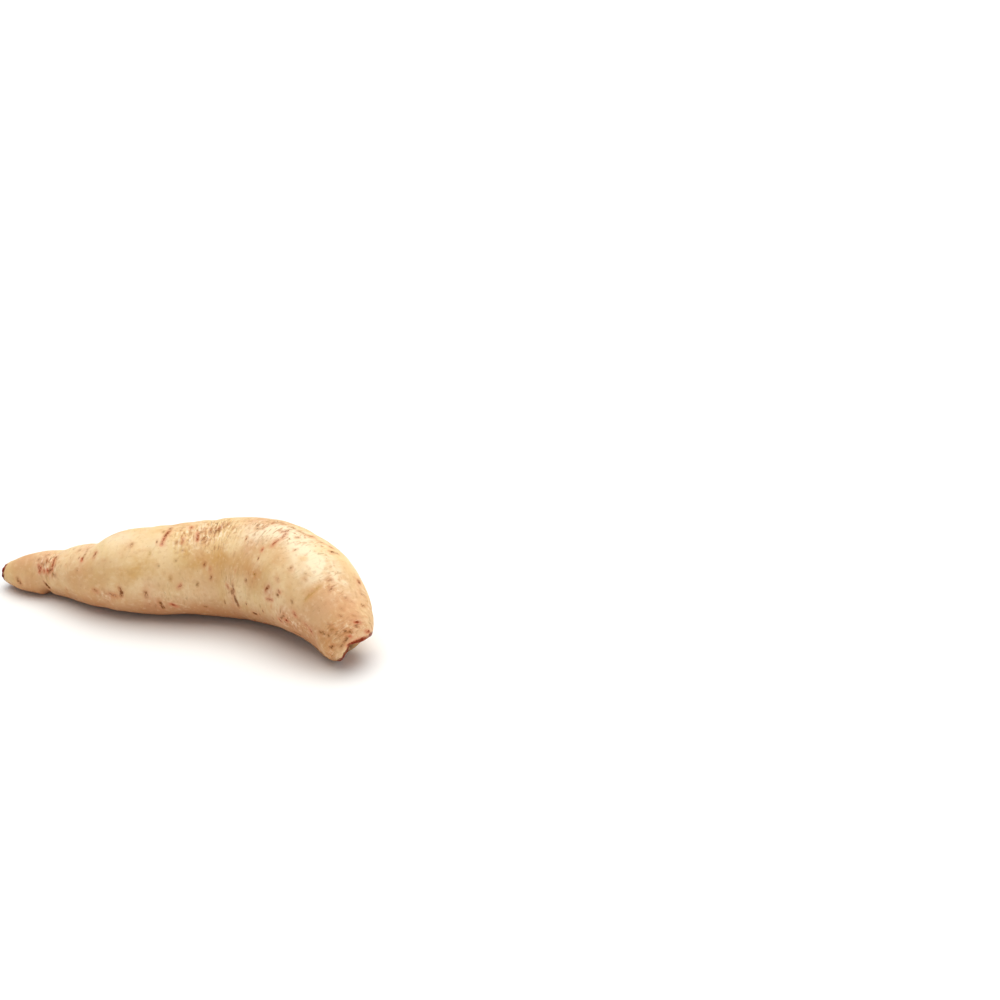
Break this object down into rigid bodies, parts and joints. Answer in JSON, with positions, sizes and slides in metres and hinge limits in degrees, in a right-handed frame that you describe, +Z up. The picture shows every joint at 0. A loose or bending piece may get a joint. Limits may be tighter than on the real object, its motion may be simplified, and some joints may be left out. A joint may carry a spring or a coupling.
{
  "type": "arracacha root",
  "caption": "Whole fresh arracacha root with pale cream to ochre skin: a narrow blunt tail, a thick curved body and a crown bent down to a rough broken end.",
  "frame": {"origin": "bottom centre of the root's box, on the surface the root lies on", "axes": "+X from the narrow tail towards the broken crown along the longest extent, +Z up, +Y to the side away from which the crown bends"},
  "size_m": [0.1732, 0.0879, 0.0467],
  "materials": {
    "root_skin": "dull thin natural skin, cream to ochre"
  },
  "bodies": {
    "root": {"arracacha_root": "root_skin"}
  },
  "joints": []
}
